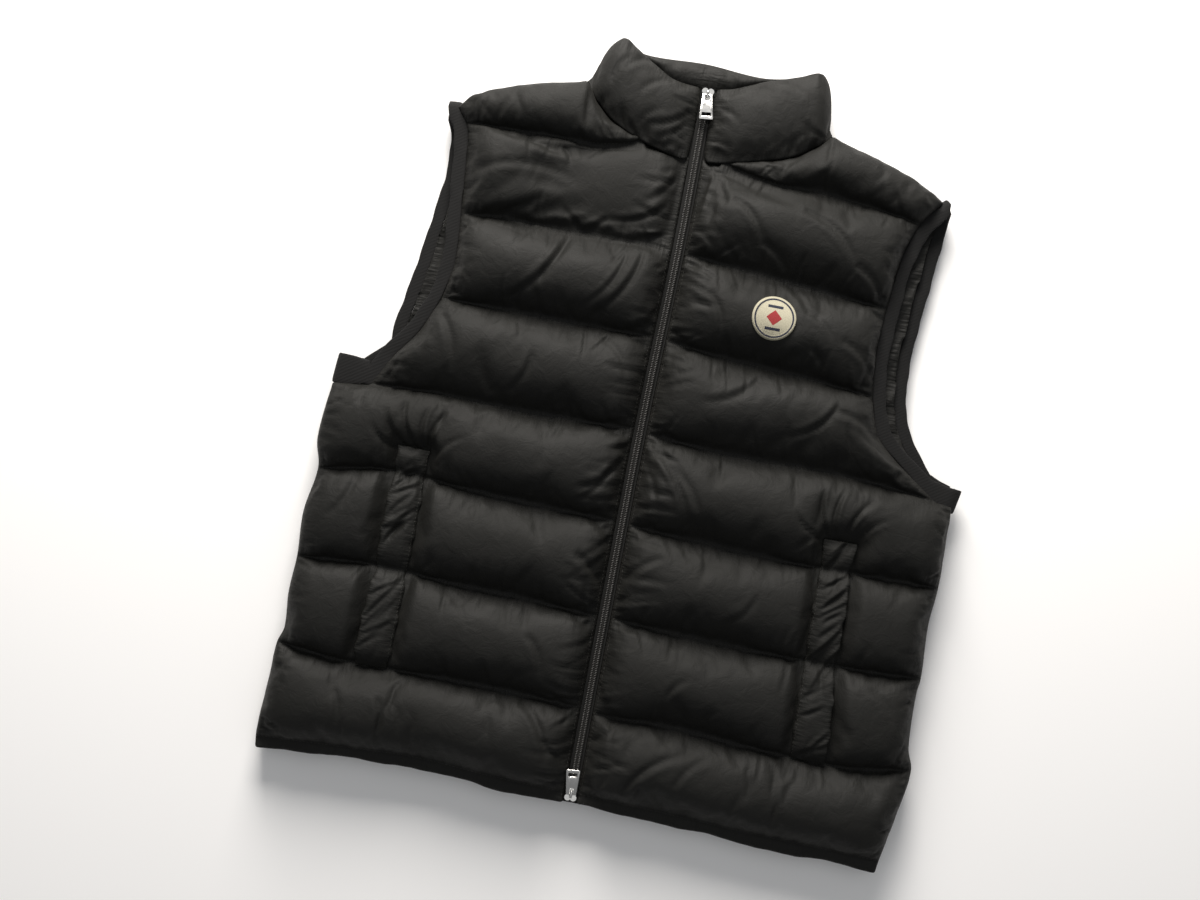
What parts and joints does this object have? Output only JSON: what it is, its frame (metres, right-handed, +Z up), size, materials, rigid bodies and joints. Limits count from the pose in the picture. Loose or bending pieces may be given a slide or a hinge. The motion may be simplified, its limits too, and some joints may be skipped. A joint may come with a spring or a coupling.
{
  "type": "puffer vest laid flat",
  "caption": "Quilted down vest with a stand collar, bound armholes and upright welt pockets, zipped up and laid flat, front up; the zip's two pull tabs lift.",
  "frame": {"origin": "on the surface that the vest lies on, under the centre of its bounding box", "axes": "+X towards the wearer's left, +Y from the hem to the collar, +Z up from the surface, out of the vest's front"},
  "size_m": [0.55, 0.654, 0.052],
  "materials": {
    "shell_nylon": "woven nylon shell, soft satin, warm charcoal black",
    "binding_tape": "matt woven elastic tape, black",
    "zip_tape": "matt woven zip tape, black",
    "zip_coil": "black nylon coil",
    "badge_cloth": "cream twill patch, embroidered edge",
    "zip_metal": "bright polished metal"
  },
  "bodies": {
    "vest": {"back": "shell_nylon", "front_right": "shell_nylon", "front_left": "shell_nylon", "collar": "shell_nylon", "pocket_welt_right": "shell_nylon", "pocket_welt_left": "shell_nylon", "armhole_binding_right": "binding_tape", "armhole_binding_left": "binding_tape", "zip_tape_right": "zip_tape", "zip_tape_left": "zip_tape", "zip_coil": "zip_coil", "badge": "badge_cloth", "slider_top": "zip_metal", "slider_bottom": "zip_metal"},
    "top_pull": {"pull_tab_top": "zip_metal"},
    "bottom_pull": {"pull_tab_bottom": "zip_metal"}
  },
  "joints": [
    {"name": "top_pull_hinge", "type": "hinge", "parent": "vest", "child": "top_pull", "pos_m": [0.002, 0.2915, 0.02855], "axis": [-1, 0, 0], "range_deg": [0, 140]},
    {"name": "bottom_pull_hinge", "type": "hinge", "parent": "vest", "child": "bottom_pull", "pos_m": [-0.00395, -0.3075, 0.02855], "axis": [1, 0, 0], "range_deg": [0, 140]}
  ]
}
